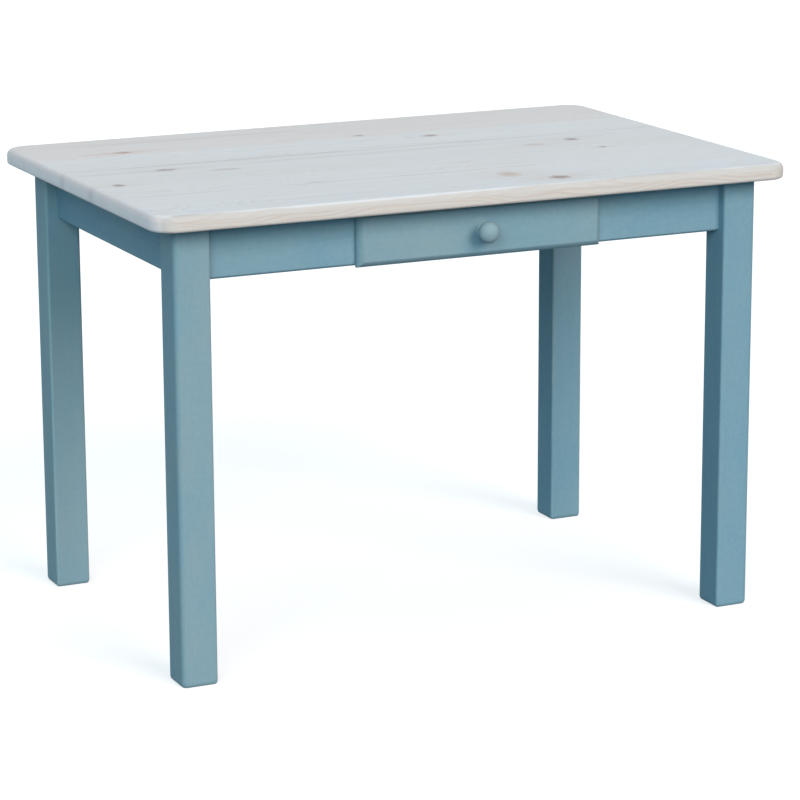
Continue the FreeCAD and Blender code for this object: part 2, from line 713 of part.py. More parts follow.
def make_drawer_front():
    blank = board("drawer_front_blank", "Sizes.drawer_front_width",
                  "Places.front_top - Places.front_bottom", "Sizes.drawer_front_thickness")
    # Built lying on its back, then stood up so that the rounded face looks to the front.
    face = lies_at_height(size("drawer_front_thickness"))
    round_edges(blank, blank.Tip, "Sizes.drawer_front_round", face)
    blank.Placement = Placement(Vector(), Rotation(Vector(1, 0, 0), 90))
    put(blank, "Sizes.drawer_shift", "Places.box_front_y", "(Places.front_bottom + Places.front_top) / 2")
    groove = box_tool("drawer_front_groove", "Places.box_inner_width + 2 * Sizes.groove_depth",
                      "Sizes.groove_depth", "Sizes.bottom_thickness + Sizes.panel_clearance")
    put(groove, "Sizes.drawer_shift - Places.box_inner_width / 2 - Sizes.groove_depth",
        "Places.box_front_y - Sizes.groove_depth", "Places.floor_bottom")
    cut("drawer_front", blank, groove, drawer_dowel_holes, knob_screw_hole)


def make_drawer_sides():
    for name, side in SIDES.items():
        label = "drawer_side_" + name
        blank = board(label + "_blank", "Sizes.drawer_side_thickness", "Sizes.drawer_depth",
                      "Places.box_top - Places.box_bottom")
        put(blank, f"Sizes.drawer_shift + {side} * (Places.box_width - Sizes.drawer_side_thickness) / 2",
            "(Places.box_front_y + Places.box_back_y) / 2", "Places.box_bottom")
        groove = box_tool(label + "_groove", "Sizes.groove_depth", "Sizes.drawer_depth",
                          "Sizes.bottom_thickness + Sizes.panel_clearance")
        inner = f"Sizes.drawer_shift + {side} * (Places.box_inner_width + Sizes.groove_depth) / 2"
        put(groove, f"{inner} - Sizes.groove_depth / 2", "Places.box_front_y", "Places.floor_bottom")
        cut(label, blank, groove, drawer_dowel_holes)


def make_drawer_back():
    blank = board("drawer_back_blank", "Places.box_inner_width", "Sizes.drawer_side_thickness",
                  "Places.box_top - Places.floor_top")
    middle = "Places.box_back_y - Sizes.drawer_side_thickness / 2"
    put(blank, "Sizes.drawer_shift", middle, "Places.floor_top")
    cut("drawer_back", blank, drawer_dowel_holes, bottom_pin_holes, stop_screw_holes)


def make_drawer_bottom():
    gap = "Sizes.panel_clearance"
    blank = board("drawer_bottom_blank", f"Places.box_inner_width + 2 * (Sizes.groove_depth - {gap})",
                  f"Sizes.drawer_depth + Sizes.groove_depth - {gap}", "Sizes.bottom_thickness")
    put(blank, "Sizes.drawer_shift",
        f"(Places.box_front_y - Sizes.groove_depth + {gap} + Places.box_back_y) / 2", "Places.floor_bottom")
    cut("drawer_bottom", blank, bottom_pin_holes)


def make_drawer_stop():
    """Block behind the drawer back that meets the upper rail when the drawer is pulled out."""
    blank = board("drawer_stop_blank", "Sizes.stop_width", "Sizes.stop_thickness",
                  "Places.box_top + Sizes.stop_rise - Places.floor_top")
    put(blank, "Sizes.drawer_shift", "Places.box_back_y + Sizes.stop_thickness / 2", "Places.floor_top")
    cut("drawer_stop", blank, stop_screw_holes)


KNOB_HEIGHT = (place("front_bottom") + place("front_top")) / 2
knob_screw_spot = [(Vector(SHIFT, place("box_front_y"), KNOB_HEIGHT), Vector(0, -1, 0))]
knob_screw_hole = screw_pair("knob_screw", knob_screw_spot, bore=FLUSH_BORE)


def make_knob():
    """Turned knob: a ball, a little flattened, on a short neck with a wider foot."""
    head = doc.addObject("Part::Ellipsoid", "knob_head")
    head.setExpression("Radius1", "Sizes.knob_head_thickness / 2")
    head.setExpression("Radius2", "Sizes.knob_diameter / 2")
    head.setExpression("Radius3", "Sizes.knob_diameter / 2")
    head.setExpression("Placement.Base.z", "Sizes.knob_projection - Sizes.knob_head_thickness / 2")
    neck = doc.addObject("Part::Cylinder", "knob_neck")
    neck.setExpression("Radius", "Sizes.knob_neck_diameter / 2")
    neck.setExpression("Height", "Sizes.knob_projection - Sizes.knob_head_thickness / 2")
    foot = doc.addObject("Part::Cone", "knob_foot")
    foot.setExpression("Radius1", "Sizes.knob_base_diameter / 2")
    foot.setExpression("Radius2", "Sizes.knob_neck_diameter / 2")
    foot.setExpression("Height", "Sizes.knob_base_thickness")
    blank = doc.addObject("Part::MultiFuse", "drawer_knob_blank")
    blank.Shapes = [head, neck, foot]
    blank.Placement = Placement(Vector(), Rotation(UP, Vector(0, -1, 0)))
    front_face = "Places.box_front_y - Sizes.drawer_front_thickness"
    put(blank, "Sizes.drawer_shift", front_face, "(Places.front_bottom + Places.front_top) / 2")
    cut("drawer_knob", blank, knob_screw_hole)


# --------------------------------------------------------------------------------------
# Build, check and write
# --------------------------------------------------------------------------------------

make_tabletop()
make_legs()
make_end_aprons()
make_back_apron()
make_front_aprons()
make_corner_blocks()
make_cleats()
make_drawer_rails()
make_runners()
make_drawer_front()
make_drawer_sides()
make_drawer_back()
make_drawer_bottom()
make_drawer_stop()
make_knob()
doc.recompute()

for item in doc.Objects:
    if "Invalid" in item.State or "Error" in item.State:
        raise RuntimeError(f"{item.Label} failed to build: {item.State}")

for label, piece in PIECES.items():
    if piece.Shape.isNull() or not piece.Shape.isValid():
        raise RuntimeError(f"{label} has no valid shape")

os.makedirs("parts", exist_ok=True)
for label, piece in PIECES.items():
    piece.Shape.exportStep(f"parts/{label}.step")
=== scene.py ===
import math

import bpy
from mathutils import Matrix, Vector


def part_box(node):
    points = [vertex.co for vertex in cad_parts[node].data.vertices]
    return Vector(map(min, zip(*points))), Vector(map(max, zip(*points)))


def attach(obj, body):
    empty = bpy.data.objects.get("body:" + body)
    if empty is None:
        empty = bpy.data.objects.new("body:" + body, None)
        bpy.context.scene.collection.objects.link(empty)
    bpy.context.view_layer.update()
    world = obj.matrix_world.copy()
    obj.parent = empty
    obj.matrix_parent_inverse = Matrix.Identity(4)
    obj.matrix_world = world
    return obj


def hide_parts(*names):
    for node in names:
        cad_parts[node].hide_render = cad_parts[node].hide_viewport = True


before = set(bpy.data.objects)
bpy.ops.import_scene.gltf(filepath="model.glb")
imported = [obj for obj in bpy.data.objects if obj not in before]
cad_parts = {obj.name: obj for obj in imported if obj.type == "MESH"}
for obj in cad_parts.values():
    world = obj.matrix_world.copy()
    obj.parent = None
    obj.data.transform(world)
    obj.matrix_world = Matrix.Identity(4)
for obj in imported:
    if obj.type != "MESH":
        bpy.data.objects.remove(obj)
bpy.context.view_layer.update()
bpy.ops.object.select_all(action="DESELECT")

# ---------------------------------------------------------------------------------------
# Tabletop
# Eight pine boards, glued edge to edge into one panel. The panel's corners are rounded,
# its edge is run over with a round cutter, and each board stays a piece of its own.
# ---------------------------------------------------------------------------------------

X, Y, Z = range(3)
BOARDS = 8
CORNER_RADIUS = 0.040
UPPER_ROUND = 0.011
LOWER_ROUND = 0.005
SEAM_EASE = 0.0002
TRUE_ROUND = 0.5         # fullness of a rounding's profile, where 0.25 is a flat chamfer
SMOOTH_BELOW = math.radians(35)
NEAR = 1e-5              # points closer than this are the same point
PARALLEL = 0.999         # least cosine between an edge and the axis that it runs along


def block(name, low, high):
    """A plain block between two corners, ready to be shaped."""
    middle = [(a + b) / 2 for a, b in zip(low, high)]
    size = [b - a for a, b in zip(low, high)]
    bpy.ops.mesh.primitive_cube_add(size=1, location=middle, scale=size)
    piece = bpy.context.object
    piece.name = piece.data.name = name
    bpy.ops.object.transform_apply(location=True, rotation=True, scale=True)
    return piece


def pick_edges(piece, test):
    """Goes to edit mode with only those edges selected whose two ends pass the test."""
    bpy.ops.object.mode_set(mode="EDIT")
    bpy.ops.mesh.select_mode(type="EDGE")
    bpy.ops.mesh.select_all(action="DESELECT")
    bpy.ops.object.mode_set(mode="OBJECT")
    points = [vertex.co for vertex in piece.data.vertices]
    for edge in piece.data.edges:
        edge.select = test(points[edge.vertices[0]], points[edge.vertices[1]])
    bpy.ops.object.mode_set(mode="EDIT")


def round_over(piece, radius, test, steps, fullness=TRUE_ROUND):
    """Rounds the edges that pass the test, in a number of steps."""
    pick_edges(piece, test)
    bpy.ops.mesh.bevel(offset=radius, segments=steps, profile=fullness, affect="EDGES",
                       clamp_overlap=False)
    bpy.ops.object.mode_set(mode="OBJECT")


def both_at(axis, value):
    """Test for edges that lie in one plane across an axis."""
    return lambda a, b: abs(a[axis] - value) < NEAR and abs(b[axis] - value) < NEAR


def along(axis):
    """Test for edges that run along one axis."""
    def runs_along(a, b):
        span = b - a
        return span.length > NEAR and abs(span[axis]) > PARALLEL * span.length
    return runs_along


def finish_piece(piece, node, body, material):
    """Smooth shading over the rounded edges, the finish, and the piece's place in the table."""
    bpy.ops.object.select_all(action="DESELECT")
    piece.select_set(True)
    bpy.context.view_layer.objects.active = piece
    bpy.ops.object.shade_smooth_by_angle(angle=SMOOTH_BELOW)
    flat_faces = piece.modifiers.new("flat_faces", "WEIGHTED_NORMAL")
    flat_faces.keep_sharp = True
    bpy.ops.object.modifier_apply(modifier=flat_faces.name)
    piece.data.materials.clear()
    piece.data.materials.append(material)
    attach(piece, body)
    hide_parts(node)
    piece.select_set(False)


class Wiring:
    """Adds shader nodes to one tree and connects them."""

    def __init__(self, tree):
        self.tree = tree

    def feed(self, socket, value):
        """Connects the value to a socket, or writes it there where it is a constant."""
        if isinstance(value, bpy.types.NodeSocket):
            self.tree.links.new(value, socket)
        else:
            socket.default_value = value

    def add(self, kind, inputs=(), **settings):
        node = self.tree.nodes.new(kind)
        for key, value in settings.items():
            setattr(node, key, value)
        for socket, value in dict(inputs).items():
            self.feed(node.inputs[socket], value)
        return node

    def use(self, group, inputs):
        """One copy of a node group."""
        return self.add("ShaderNodeGroup", inputs, node_tree=group)

    def math(self, operation, a, b=0.0, c=0.0, clamp=False):
        inputs = {0: a, 1: b, 2: c}
        node = self.add("ShaderNodeMath", inputs, operation=operation, use_clamp=clamp)
        return node.outputs[0]

    def plus(self, a, b):
        return self.math("ADD", a, b)

    def minus(self, a, b):
        return self.math("SUBTRACT", a, b)

    def times(self, a, b):
        return self.math("MULTIPLY", a, b)

    def over(self, a, b):
        return self.math("DIVIDE", a, b)

    def scaled(self, a, factor, base):
        """The value times a factor, plus a base."""
        return self.math("MULTIPLY_ADD", a, factor, base)

    def away(self, a, b):
        """How far two values lie apart."""
        return self.math("ABSOLUTE", self.minus(a, b))

    def squares(self, a, b):
        """The square of a distance, from its two parts."""
        return self.plus(self.times(a, a), self.times(b, b))

    def split(self, vector):
        return self.add("ShaderNodeSeparateXYZ", {0: vector}).outputs

    def join(self, x, y, z):
        return self.add("ShaderNodeCombineXYZ", {0: x, 1: y, 2: z}).outputs[0]

    def noise(self, vector, scale, detail=2.0, roughness=0.5, distortion=0.0):
        """Clouds from 0 to 1. Three scales, one for each axis, draw them out along the grain."""
        if isinstance(scale, tuple):
            stretch = self.add("ShaderNodeVectorMath", {0: vector, 1: scale}, operation="MULTIPLY")
            vector, scale = stretch.outputs[0], 1.0
        node = self.add("ShaderNodeTexNoise", {
            "Vector": vector, "Scale": scale, "Detail": detail, "Roughness": roughness,
            "Distortion": distortion})
        return node.outputs["Fac"]

    def sway(self, *pattern):
        """Such clouds about zero, to push a line to and fro."""
        return self.minus(self.noise(*pattern), 0.5)

    def ramp(self, value, low, high, start=0.0, end=1.0):
        """A smooth step from start to end, while the value goes from low to high."""
        node = self.add("ShaderNodeMapRange", {
            "Value": value, "From Min": low, "From Max": high, "To Min": start, "To Max": end},
            interpolation_type="SMOOTHSTEP")
        return node.outputs["Result"]

    def mix(self, factor, a, b):
        """From colour a at 0 to colour b at 1."""
        return self.add("ShaderNodeMix", {0: factor, 6: a, 7: b}, data_type="RGBA").outputs[2]

    def surface(self, shader, colour, roughness, relief=None, strength=0.0, depth=0.0):
        """Feeds a shader its colour, its roughness and the fine relief of its surface."""
        self.feed(shader.inputs["Base Color"], colour)
        self.feed(shader.inputs["Roughness"], roughness)
        if relief is not None:
            bump = self.add("ShaderNodeBump", {
                "Height": relief, "Strength": strength, "Distance": depth})
            self.feed(shader.inputs["Normal"], bump.outputs["Normal"])


VECTOR, FLOAT, COLOUR = "NodeSocketVector", "NodeSocketFloat", "NodeSocketColor"


def new_group(name, inputs, outputs):
    """An empty shader node group. Each socket is given as its name and kind."""
    tree = bpy.data.node_groups.new(name, "ShaderNodeTree")
    for in_out, sockets in (("INPUT", inputs), ("OUTPUT", outputs)):
        for label, kind in sockets.items():
            tree.interface.new_socket(label, in_out=in_out, socket_type=kind)
    wiring = Wiring(tree)
    start = wiring.add("NodeGroupInput").outputs
    end = wiring.add("NodeGroupOutput").inputs
    return tree, wiring, start, end


def new_material(name):
    """A material with its wiring, its shader and the point in the piece's own space."""
    material = bpy.data.materials.new(name)
    material.use_nodes = True
    shader = material.node_tree.nodes["Principled BSDF"]
    wiring = Wiring(material.node_tree)
    place = wiring.add("ShaderNodeTexCoord").outputs["Object"]
    return material, wiring, shader, place


def srgb(red, green, blue):
    """Colour as the shaders take it, from the 0 to 255 of a paint card by the sRGB curve."""
    parts = [c / 255 for c in (red, green, blue)]
    return [c / 12.92 if c <= 0.04045 else ((c + 0.055) / 1.055) ** 2.4 for c in parts] + [1.0]


# Sawn pine in the round: growth rings about a heart that runs along X beside the board. The
# scales of these and all later patterns are in waves per metre, along X, Y and Z.
SEED_STEP = 7.3          # pieces with different seeds are cut this far apart along the trunk
DRIFT_Y, DRIFT_Z = (1.6, 5.0, 5.0), (2.3, 6.0, 6.0)
DRIFT_Z_GAIN = 4.0
RIPPLE, RIPPLE_DEPTH = (14.0, 60.0, 60.0), 0.0016
RING_PATTERN = 0.9
FIBRES, PATCHES = (9.0, 520.0, 520.0), (3.0, 14.0, 14.0)

pine_figure, w, start, end = new_group(
    "pine_figure",
    {"Place": VECTOR, "Heart Y": FLOAT, "Heart Z": FLOAT, "Ring Width": FLOAT, "Wander": FLOAT,
     "Seed": FLOAT},
    {"Rings": FLOAT, "Fibres": FLOAT, "Patches": FLOAT})
x, y, z = w.split(start["Place"])
seeded = w.join(w.plus(x, w.times(start["Seed"], SEED_STEP)), y, z)
drift_y = w.times(w.sway(seeded, DRIFT_Y, 2.0, 0.55), start["Wander"])
drift_z = w.times(w.sway(seeded, DRIFT_Z, 2.0, 0.55), w.times(start["Wander"], DRIFT_Z_GAIN))
off_y = w.minus(w.plus(y, drift_y), start["Heart Y"])
off_z = w.minus(w.plus(z, drift_z), start["Heart Z"])
radius = w.math("SQRT", w.squares(off_y, off_z))
radius = w.plus(radius, w.times(w.sway(seeded, RIPPLE, 2.0, 0.5), RIPPLE_DEPTH))
turns = w.over(radius, start["Ring Width"])
part = w.math("FRACT", turns)
late = w.times(w.ramp(part, 0.35, 0.9), w.ramp(part, 1.0, 0.93))
strength = w.noise(w.join(w.math("FLOOR", turns), start["Seed"], 0.0), RING_PATTERN, 1.0)
w.feed(end["Rings"], w.times(late, w.ramp(strength, 0.25, 0.7, start=0.35)))
w.feed(end["Fibres"], w.noise(seeded, FIBRES, 3.0, 0.65))
w.feed(end["Patches"], w.noise(seeded, PATCHES, 3.0, 0.6))


def wood_relief(w, rings, fibres):
    """The rings and fibres that stand up after planing."""
    return w.plus(w.times(rings, 0.6), w.times(fibres, 0.5))


# A knot seen on the board's face: a dark core with a rim, a stain about it, and the grain
# that it pushes aside.
ROUGH_X, ROUGH_Y = (60.0, 90.0, 20.0), (75.0, 55.0, 31.0)
STAIN_REACH = 0.42       # the stain runs out along the grain by one over this
PUSH_FADE, PUSH = -0.22, 0.55

knot, w, start, end = new_group(
    "knot",
    {"Place": VECTOR, "Middle X": FLOAT, "Middle Y": FLOAT, "Half Length": FLOAT,
     "Half Width": FLOAT, "Stain": FLOAT},
    {"Core": FLOAT, "Rim": FLOAT, "Halo": FLOAT, "Push": FLOAT})
x, y, _ = w.split(start["Place"])
across = w.minus(x, start["Middle X"])
beside = w.minus(y, start["Middle Y"])
part_x = w.plus(w.over(across, start["Half Length"]), w.sway(start["Place"], ROUGH_X))
part_y = w.plus(w.over(beside, start["Half Width"]), w.sway(start["Place"], ROUGH_Y))
square = w.squares(part_x, part_y)
reach = w.math("SQRT", square)
stain = w.math("SQRT", w.squares(w.times(part_x, STAIN_REACH), part_y))
fade = w.math("EXPONENT", w.times(square, PUSH_FADE))
w.feed(end["Core"], w.ramp(reach, 1.0, 0.45))
w.feed(end["Rim"], w.times(w.ramp(reach, 0.55, 0.85), w.ramp(reach, 1.25, 0.95)))
w.feed(end["Halo"], w.times(w.ramp(stain, 2.4, 0.6), start["Stain"]))
w.feed(end["Push"], w.times(w.times(beside, fade), PUSH))

# A long faint line of darker wood between two ends.
BEND, BEND_DEPTH = (5.0, 2.0, 2.0), 0.012
BREAKS = (7.0, 40.0, 1.0)
TAPER = 0.12

streak, w, start, end = new_group(
    "streak",
    {"Place": VECTOR, "From X": FLOAT, "To X": FLOAT, "Line Y": FLOAT, "Half Width": FLOAT},
    {"Line": FLOAT})
x, y, _ = w.split(start["Place"])
line = w.plus(start["Line Y"], w.times(w.sway(start["Place"], BEND), BEND_DEPTH))
gap = w.over(w.away(y, line), start["Half Width"])
ends = w.times(w.ramp(w.minus(x, start["From X"]), 0.0, TAPER),
               w.ramp(w.minus(start["To X"], x), 0.0, TAPER))
broken = w.ramp(w.noise(start["Place"], BREAKS, 3.0), 0.3, 0.6, start=0.35)
w.feed(end["Line"], w.times(w.times(w.ramp(gap, 1.0, 0.0), ends), broken))

# middle X, middle Y, half length, half width, stain, depth of colour, colour of the core
KNOTS = [
    (-0.392, 0.218, 0.016, 0.008, 1.4, 0.62, (152, 112, 98)),
    (0.037, 0.205, 0.010, 0.006, 0.5, 0.60, (128, 96, 88)),
    (0.148, 0.152, 0.016, 0.010, 0.5, 0.62, (136, 110, 104)),
    (-0.388, 0.025, 0.018, 0.011, 0.6, 0.52, (128, 112, 114)),
    (-0.300, -0.012, 0.030, 0.010, 0.4, 0.30, (150, 128, 124)),
    (-0.507, -0.078, 0.012, 0.012, 0.6, 0.60, (120, 92, 98)),
    (0.265, -0.015, 0.020, 0.012, 1.0, 0.28, (170, 140, 132)),
    (0.348, 0.008, 0.015, 0.012, 0.5, 0.65, (112, 98, 102)),
    (0.357, -0.088, 0.008, 0.005, 0.8, 0.65, (110, 92, 94)),
    (-0.215, -0.185, 0.016, 0.005, 0.4, 0.25, (150, 132, 130)),
    (0.092, -0.258, 0.018, 0.024, 0.7, 0.50, (184, 156, 134)),
    (0.152, -0.320, 0.018, 0.015, 0.7, 0.70, (140, 104, 98)),
]
KNOT_HALO = srgb(196, 160, 138)
# from X, to X, Y, half width, depth of colour
STREAKS = [
    (-0.50, 0.02, 0.305, 0.012, 0.22),
    (-0.60, 0.36, 0.067, 0.009, 0.40),
    (0.25, 0.62, 0.067, 0.007, 0.18),
    (-0.60, 0.50, 0.028, 0.014, 0.16),
    (-0.60, 0.24, -0.195, 0.007, 0.26),
    (-0.48, -0.03, -0.305, 0.009, 0.16),
]
STREAK_BROWN = srgb(164, 150, 146)

whitewashed_pine, w, shader, place = new_material("whitewashed_pine")
top_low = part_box(f"tabletop_board_{BOARDS}")[0]
top_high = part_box("tabletop_board_1")[1]
board_width = (top_high.y - top_low.y) / BOARDS

x, y, z = w.split(place)
number = w.math("FLOOR", w.over(w.minus(top_high.y, y), board_width))
chance = w.add("ShaderNodeTexWhiteNoise", {"W": number}, noise_dimensions="1D")
lot = w.split(chance.outputs["Color"])

pushed = y
knots = []
for middle_x, middle_y, half_length, half_width, stain, depth, core in KNOTS:
    mark = w.use(knot, {
        "Place": place, "Middle X": middle_x, "Middle Y": middle_y, "Half Length": half_length,
        "Half Width": half_width, "Stain": stain})
    pushed = w.minus(pushed, mark.outputs["Push"])
    knots.append((mark, depth, srgb(*core)))

# Each board is cut from a trunk of its own, whose heart lies somewhere below it.
HEART_SPREAD_Y = 0.10
HEART_HIGHEST, HEART_SPREAD_Z = 0.715, 0.06
RING_WIDTH, WANDER = 0.0042, 0.030

board_middle = w.scaled(w.plus(number, 0.5), -board_width, top_high.y)
heart_y = w.scaled(w.minus(lot[0], 0.5), HEART_SPREAD_Y, board_middle)
heart_z = w.scaled(lot[1], -HEART_SPREAD_Z, HEART_HIGHEST)
figure = w.use(pine_figure, {
    "Place": w.join(x, pushed, z), "Heart Y": heart_y, "Heart Z": heart_z,
    "Ring Width": RING_WIDTH, "Wander": WANDER, "Seed": number})
rings, fibres, patches = figure.outputs

# Bare wood: cream between the rings, reddish in them, and warmer in patches.
wood = w.mix(rings, srgb(212, 204, 196), srgb(190, 166, 158))
wood = w.mix(w.ramp(patches, 0.35, 0.75, end=0.3), wood, srgb(214, 198, 186))

# The white stain lies thickest on the upper face and thinner on the moulded edge. Its limit
# wanders along the rounding of the long sides, and fades softly into the end grain.
LIMIT_IN, LIMIT_WANDER = 0.0030, 0.0060      # in from the long side, and what wandering adds
LIMIT_WAVE = (5.0, 0.5, 0.5)
LIMIT_SOFT = (-0.0010, 0.0032)   # about the limit, where the stain sets in and is full
END_REACH = (0.045, 0.030)       # in from the end, where the fading sets in and is full
RIM_FADE = (0.0090, 0.0010)      # the same, in from the rim
FACE_DOWN = (0.0095, 0.0065)     # down from the upper face, where the stain sets in and is full
UNDER_UP = (0.0010, 0.0002)      # up from the underside, where bare wood sets in and is full
END_GRAIN = (0.36, 0.66)         # share of the corner's turn that becomes end grain
TINY = 0.0001                    # keeps a division from dividing by nothing

side_gap = w.math("MINIMUM", w.minus(y, top_low.y), w.minus(top_high.y, y))
end_gap = w.minus(top_high.x, w.math("ABSOLUTE", x))
wave = w.noise(place, LIMIT_WAVE)
limit = w.scaled(w.ramp(wave, 0.35, 0.75), LIMIT_WANDER, LIMIT_IN)
from_side = w.ramp(w.minus(side_gap, limit), *LIMIT_SOFT)
into_end = w.math("MAXIMUM", w.minus(CORNER_RADIUS, end_gap), 0.0)
into_side = w.math("MAXIMUM", w.minus(CORNER_RADIUS, side_gap), 0.0)
rim = w.minus(CORNER_RADIUS, w.math("SQRT", w.squares(into_end, into_side)))
worn_end = w.times(w.ramp(end_gap, *END_REACH), w.ramp(rim, *RIM_FADE))
upper_face = w.times(w.times(from_side, w.minus(1.0, worn_end)),
                     w.ramp(z, *[top_high.z - down for down in FACE_DOWN]))
underside = w.ramp(z, *[top_low.z + up for up in UNDER_UP])
turned = w.over(side_gap, w.plus(w.plus(side_gap, end_gap), TINY))
end_grain = w.ramp(turned, *END_GRAIN)

# The white stain on the upper face, in a tone of its own on each board, with fine veins.
TONES = [(213, 206, 204), (215, 208, 206), (216, 217, 219), (213, 213, 214),
         (214, 214, 214), (216, 216, 217), (217, 217, 219), (215, 217, 220)]
VEINS = (2.2, 110.0, 40.0)
STAIN_GLOSS = 0.12

tone = w.add("ShaderNodeValToRGB", {0: w.over(w.plus(number, 0.5), BOARDS)})
tone.color_ramp.interpolation = "CONSTANT"
steps = tone.color_ramp.elements
steps[0].color = srgb(*TONES[0])
steps[1].position, steps[1].color = 1 / BOARDS, srgb(*TONES[1])
for index in range(2, BOARDS):
    steps.new(index / BOARDS).color = srgb(*TONES[index])
stain = w.mix(w.ramp(fibres, 0.3, 0.75, end=0.5), tone.outputs["Color"], srgb(221, 219, 221))
veins = w.noise(w.join(x, pushed, z), VEINS, 4.0, 0.65)
stain = w.mix(w.ramp(veins, 0.50, 0.72, end=0.42), stain, srgb(203, 194, 190))
stain = w.mix(w.ramp(veins, 0.48, 0.28, end=0.45), stain, srgb(222, 223, 225))
cover = w.scaled(rings, -0.10, w.ramp(patches, 0.2, 0.8, start=0.93, end=0.82))
face = w.mix(cover, wood, stain)

# The moulded edge, where the rings show. Its upper rounding is written greyer, a painted shade.
EDGE_ROUNDING_SHADE = (0.014, 0.004)
moulded = w.mix(rings, srgb(206, 199, 191), srgb(195, 176, 168))
edge = w.mix(w.ramp(fibres, 0.3, 0.7, start=0.05, end=0.40), moulded, srgb(203, 196, 192))
# painted shade on the upper rounding of the long edges
rounding = w.ramp(z, *[top_high.z - down for down in EDGE_ROUNDING_SHADE], end=0.66)
edge = w.mix(rounding, edge, srgb(184, 181, 179))

# The end grain: pale, with broad bands, short hairs and two soft dark stains at the left end. Its
# upper rounding, its parts near the long sides and its lower part are written darker: painted
# shade.
BANDS, HAIRS = (0.0, 26.0, 4.0), (12.0, 420.0, 12.0)
END_ROUNDING_SHADE, END_SHADE_TOP, END_SHADE_BOTTOM = (0.013, 0.003), 0.012, 0.002
END_CORNER_SHADE = (0.045, 0.012)
END_STAINS = [(0.058, 0.018), (-0.078, 0.022)]      # Y and half width
STAINED_END = (0.0, -0.5)                           # X from which the stains come up
RAGGED = 1.2

band = w.noise(place, BANDS, 3.0, 0.6)
hairs = w.noise(place, HAIRS, 3.0, 0.7)
end_tone = w.mix(w.ramp(band, 0.45, 0.70, end=0.40), srgb(246, 235, 232), srgb(238, 223, 220))
end_tone = w.mix(w.ramp(hairs, 0.45, 0.75, end=0.35), end_tone, srgb(226, 208, 206))
# painted shade: the upper rounding of the end turns darker
rounding = w.ramp(z, *[top_high.z - down for down in END_ROUNDING_SHADE], end=0.68)
end_tone = w.mix(rounding, end_tone, srgb(200, 187, 186))
# painted shade: the end turns darker near the long sides
end_tone = w.mix(w.ramp(side_gap, *END_CORNER_SHADE, end=0.45), end_tone, srgb(196, 186, 184))
for stain_y, stain_width in END_STAINS:
    reach = w.over(w.away(y, stain_y), stain_width)
    reach = w.plus(reach, w.scaled(band, RAGGED, -RAGGED / 2))
    dark = w.times(w.ramp(reach, 1.0, 0.0), w.ramp(x, *STAINED_END, end=0.28))
    end_tone = w.mix(dark, end_tone, srgb(172, 164, 172))
# painted shade: the end turns darker towards the bottom
lower = w.ramp(z, top_high.z - END_SHADE_TOP, top_low.z + END_SHADE_BOTTOM, end=0.25)
end_tone = w.mix(lower, end_tone, srgb(222, 212, 212))

colour = w.mix(upper_face, w.mix(end_grain, edge, end_tone), face)
colour = w.mix(underside, colour, w.mix(0.6, wood, srgb(196, 170, 136)))
for from_x, to_x, line_y, half_width, depth in STREAKS:
    mark = w.use(streak, {
        "Place": place, "From X": from_x, "To X": to_x, "Line Y": line_y,
        "Half Width": half_width})
    mask = w.times(mark.outputs["Line"], upper_face)
    colour = w.mix(w.times(mask, depth), colour, STREAK_BROWN)
for mark, depth, core in knots:
    for part, share, tint in (("Halo", 0.30, KNOT_HALO), ("Core", 1.0, core), ("Rim", 0.35, core)):
        colour = w.mix(w.times(mark.outputs[part], share * depth), colour, tint)
roughness = w.ramp(fibres, 0.2, 0.8, start=0.66, end=0.54)
w.surface(shader, colour, roughness, wood_relief(w, rings, fibres), strength=0.25, depth=0.0004)
shader.inputs["Specular IOR Level"].default_value = STAIN_GLOSS

panel = block("tabletop_panel", top_low, top_high)
round_over(panel, CORNER_RADIUS, along(Z), steps=16)
round_over(panel, UPPER_ROUND, both_at(Z, top_high.z), steps=8)
round_over(panel, LOWER_ROUND, both_at(Z, top_low.z), steps=6)
for index in range(1, BOARDS + 1):
    node = f"tabletop_board_{index}"
    front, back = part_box(node)[0].y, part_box(node)[1].y
    board = panel.copy()
    board.data = panel.data.copy()
    board.name = board.data.name = f"top_board_{index}"
    bpy.context.scene.collection.objects.link(board)
    panel.select_set(False)
    board.select_set(True)
    bpy.context.view_layer.objects.active = board
    for seam, side in ((front, -1), (back, 1)):
        if top_low.y + NEAR < seam < top_high.y - NEAR:
            bpy.ops.object.mode_set(mode="EDIT")
            bpy.ops.mesh.select_all(action="SELECT")
            bpy.ops.mesh.bisect(plane_co=(0, seam, 0), plane_no=(0, side, 0), use_fill=True,
                                clear_outer=True)
            bpy.ops.object.mode_set(mode="OBJECT")
            round_over(board, SEAM_EASE, both_at(Y, seam), steps=1)
    finish_piece(board, node, "table", whitewashed_pine)
bpy.data.objects.remove(panel)

# ---------------------------------------------------------------------------------------
# Legs
# Square pine posts with softly rounded edges, painted all round. A hanger bolt in the
# inner edge of each pulls it against the two aprons.
# ---------------------------------------------------------------------------------------

OUTER_ROUND = 0.010
LEG_ROUND = 0.005
FOOT_ROUND = 0.0045
FOOT_STRETCH = 1.7           # the rounding reaches further up the leg than inwards
EDGE_WEAR_AND_HIGHLIGHT = (0.0255, 0.0285)     # from the leg's middle, where worn paint and a painted highlight begin on the edges
# the back legs' edges are lighter still: a painted highlight
BACK_FROM, BACK_HIGHLIGHT = 0.1, 2.2
LEG_X = sum(corner.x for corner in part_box("leg_front_right")) / 2
LEG_Y = sum(corner.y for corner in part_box("leg_back_left")) / 2

# Blue-grey paint, brushed along X: faint streaks of the brush, the grain telegraphing
# through, cloudy patches, and a fine orange peel in the surface.
PAINT_BLUE, PAINT_GREY = srgb(104, 148, 168), srgb(134, 157, 164)
